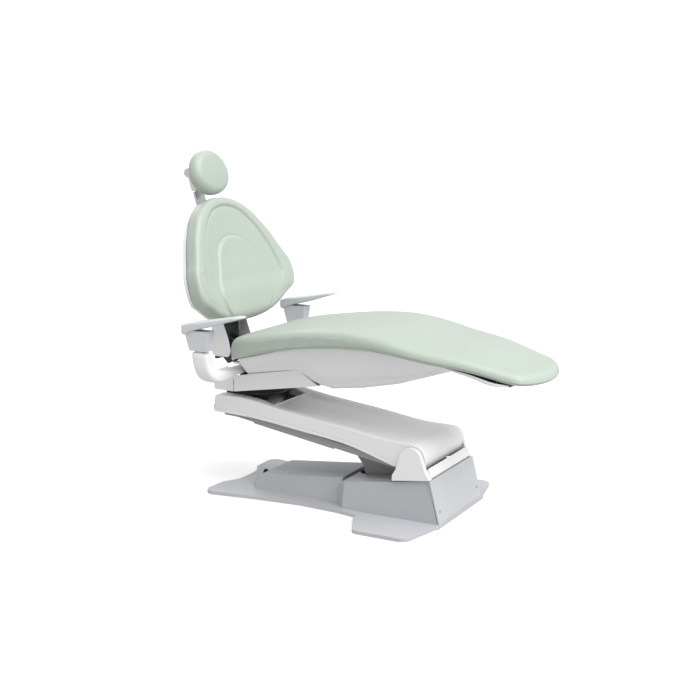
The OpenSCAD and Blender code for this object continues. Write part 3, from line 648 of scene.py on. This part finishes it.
def seat_shell(mat):
    """The seat's belly: sides drawn in to a rounded keel, a skirt inside the hub cover, thin at the front."""
    rows = []
    for x in [-345, -343, -338, -328, -300, -272, -240, -200, -160, -146, -130, -115, -100, -85, -62, -40,
              -23, 10, 49, 90, 130, 170, 215, 260, 300, 336, 370, 400, 415, 422]:
        top, low = float(table(SHELL_TOP, x)), float(np.interp(x, *zip(*SHELL_LOW)))
        inset = 7 * float(1 - smooth_step((x + 345) / 16)) + 14 * float(smooth_step((x - 250) / 172))
        skirt = float(smooth_step((-50 - x) / 45))
        wide, keel = 204 - inset, 150 - 0.6 * inset
        h = max(top - low, 3)
        ring = [(wide, top), (wide - 0.5, top - 0.06 * h)]
        for t in (0.18, 0.32, 0.46, 0.6, 0.72):
            ring.append((wide + (keel - wide) * t ** 1.35, top - h * t))
        r = min(26, 0.28 * h) * (1 - 0.8 * skirt)
        for a in (0, 20, 40, 60, 80, 90):
            ring.append((keel - r * (1 - math.cos(math.radians(a))) + (wide - keel) * 0.1 * (1 - a / 90),
                         low + r * (1 - math.sin(math.radians(a)))))
        for f, drop in ((0.72, 2), (0.5, 10), (0.3, 20), (0.1, 30)):
            y = keel * f * (1 - skirt) + 141 * skirt
            ring.append((y, max(low - drop * skirt, 409) if skirt > 0.5 else low))
        rows.append([(x, y, z) for y, z in ring + [(-y, z) for y, z in reversed(ring)]])
    obj = shell("seat_shell_skin", rows, 3.0, lambda x, y, z: x < -62 and abs(y) < 20)
    soften(obj, 0.6, 2, 40)
    return finish_piece(obj, "seat", mat["white_plastic"], "white_plastic", "seat_shell")


def superellipse(a, b, n=16, power=3.2):
    ring = []
    for i in range(n):
        t = 2 * math.pi * (i + 0.5) / n
        c, q = math.cos(t), math.sin(t)
        ring.append((a * math.copysign(abs(c) ** (2 / power), c),
                     b * math.copysign(abs(q) ** (2 / power), q)))
    return ring


def tube(name, rings):
    """A solid lofted through closed rings of points, with flat ends."""
    n = len(rings[0])
    verts = [p for ring in rings for p in ring]
    faces = [list(range(n)), list(range(len(verts) - n, len(verts)))]
    for i in range(len(rings) - 1):
        for j in range(n):
            k = (j + 1) % n
            faces.append([i * n + j, i * n + k, (i + 1) * n + k, (i + 1) * n + j])
    return new_object(name, verts, faces)


PAD_TOP = [(-480, 604), (-476, 606), (-466, 609.5), (-400, 621), (-330, 633), (-262, 644.5), (-250, 645),
           (-246, 643)]
PAD_LOW = [(-480, 576), (-476, 572), (-462, 570), (-452, 578), (-440, 585), (-380, 599), (-300, 624),
           (-260, 636), (-246, 640)]
PAD_WIDE = [(-480, 22), (-478, 26), (-470, 30), (-300, 31), (-272, 29), (-256, 21), (-246, 10)]

ARMREST_Y = 310


def armrest_pads(mat):
    for side, s in (("right", -1), ("left", 1)):
        rings = []
        for x in (-480, -478.5, -476, -472, -466, -455, -440, -410, -380, -350, -320, -300, -285, -272,
                  -264, -256, -250, -246):
            top, low, wide = (float(table(rows, x)) for rows in (PAD_TOP, PAD_LOW, PAD_WIDE))
            rings.append([(x, s * ARMREST_Y + y, (top + low) / 2 + z)
                          for y, z in superellipse(wide, (top - low) / 2, 20, 5.5)])
        pad = subdivide(to_metres(tube("armrest_pad_skin_" + side, rings)), 1)
        finish_piece(soften(pad, 0.8, 2, 50), "armrest_" + side, mat["grey_plastic"], "grey_plastic",
                     "armrest_pad_" + side)


# Down the post's foot, round the bend and in over the hub.
# Each row is across, height, half thickness, rear and front.
BRACKET = [(310, 518, 18, -451, -386), (310, 500, 18, -449, -384), (308, 478, 20, -447, -381),
           (303, 457, 23, -443, -376), (294, 441, 26, -438, -370), (279, 431, 26, -432, -365),
           (260, 427, 22, -426, -361), (238, 426, 18, -419, -359), (212, 428, 15, -410, -359),
           (185, 430, 13.5, -402, -360), (150, 430, 13, -400, -360), (76, 430, 13, -400, -360)]


def armrest_brackets(mat):
    path = np.array(BRACKET, float)
    tangent = np.gradient(path[:, :2], axis=0)
    tangent /= np.linalg.norm(tangent, axis=1, keepdims=True)
    for side, s in (("right", -1), ("left", 1)):
        rings = []
        for (y, z, t, rear, front), (ty, tz) in zip(path, tangent):
            rings.append([((rear + front) / 2 + u, s * (y - v * tz), z + v * ty)
                          for u, v in superellipse((front - rear) / 2, t, 20, 3.6)])
        bracket = subdivide(to_metres(tube("armrest_bracket_skin_" + side, rings)), 1)
        finish_piece(soften(bracket, 1.0, 2, 50), "hub", mat["white_plastic"], "white_plastic",
                     "armrest_bracket_" + side)


KNUCKLE_UP, KNUCKLE_OUT = 545, -86  # the headrest's upper hinge, in the back's own frame


def headrest_shell(mat):
    """A small domed shell behind the pad, with its neck and knuckle."""
    outline = rounded([(HEAD_MIDDLE + (a - 80) * 0.8, b * 0.76) for a, b in mirror(HEAD_HALF)], 2)
    dome = disc_pad("headrest_dome", outline, np.array([HEAD_MIDDLE, 0.0]), lambda a, b: -46 + 0 * a,
                    lambda a, b: -63 + 0 * a, 2, 14, 28)
    finish_piece(from_back(dome), "headrest", mat["white_plastic"], "white_plastic", "headrest_shell")
    neck = tube("headrest_neck",
                [[(KNUCKLE_UP + u, v, n) for u, v in superellipse(a, b, 16, 3)]
                 for n, a, b in ((-57, 15, 14), (-66, 12.5, 11.5), (-76, 11.5, 11), (-86, 11, 11))])
    finish_piece(soften(from_back(neck), 1.5), "headrest", mat["white_plastic"], "white_plastic")
    knuckle = tube("headrest_knuckle", [[(KNUCKLE_UP + r * math.cos(t), y, KNUCKLE_OUT + r * math.sin(t))
                                         for t in (2 * math.pi * i / 32 for i in range(32))]
                                        for y, r in ((-11, 10.5), (-9.5, 12), (9.5, 12), (11, 10.5))])
    finish_piece(soften(from_back(knuckle), 0.8), "headrest", mat["white_plastic"], "white_plastic")


LEG_LOW = [(422, 508), (475, 497.5), (545, 478.5), (598, 474)]
LEG_TOP = [(422, 517), (475, 509), (545, 492), (598, 481)]


def legrest_panel(mat):
    """The thin panel under the toes, wide enough to hide the pan above it."""
    rows = []
    for x in (422, 440, 458, 475, 492, 510, 528, 545, 562, 580, 592, 598):
        top, low = float(table(LEG_TOP, x)), float(table(LEG_LOW, x))
        wide = 186 - 24 * float(smooth_step((x - 540) / 58)) ** 2
        ring = [(wide, top), (wide - 1, low + 0.45 * (top - low)), (wide - 6, low + 2), (wide - 16, low),
                (wide * 0.6, low), (wide * 0.2, low)]
        rows.append([(x, y, z) for y, z in ring + [(-y, z) for y, z in reversed(ring)]])
    obj = shell("legrest_skin", rows, -1.5)
    finish_piece(soften(obj, 0.4, 2, 40), "seat", mat["white_plastic"], "white_plastic", "legrest_panel")


studio()
mat = materials()
hard_parts(mat)
cushions(mat)
arm_cover(mat)
seat_shell(mat)
legrest_panel(mat)
armrest_pads(mat)
armrest_brackets(mat)
headrest_shell(mat)
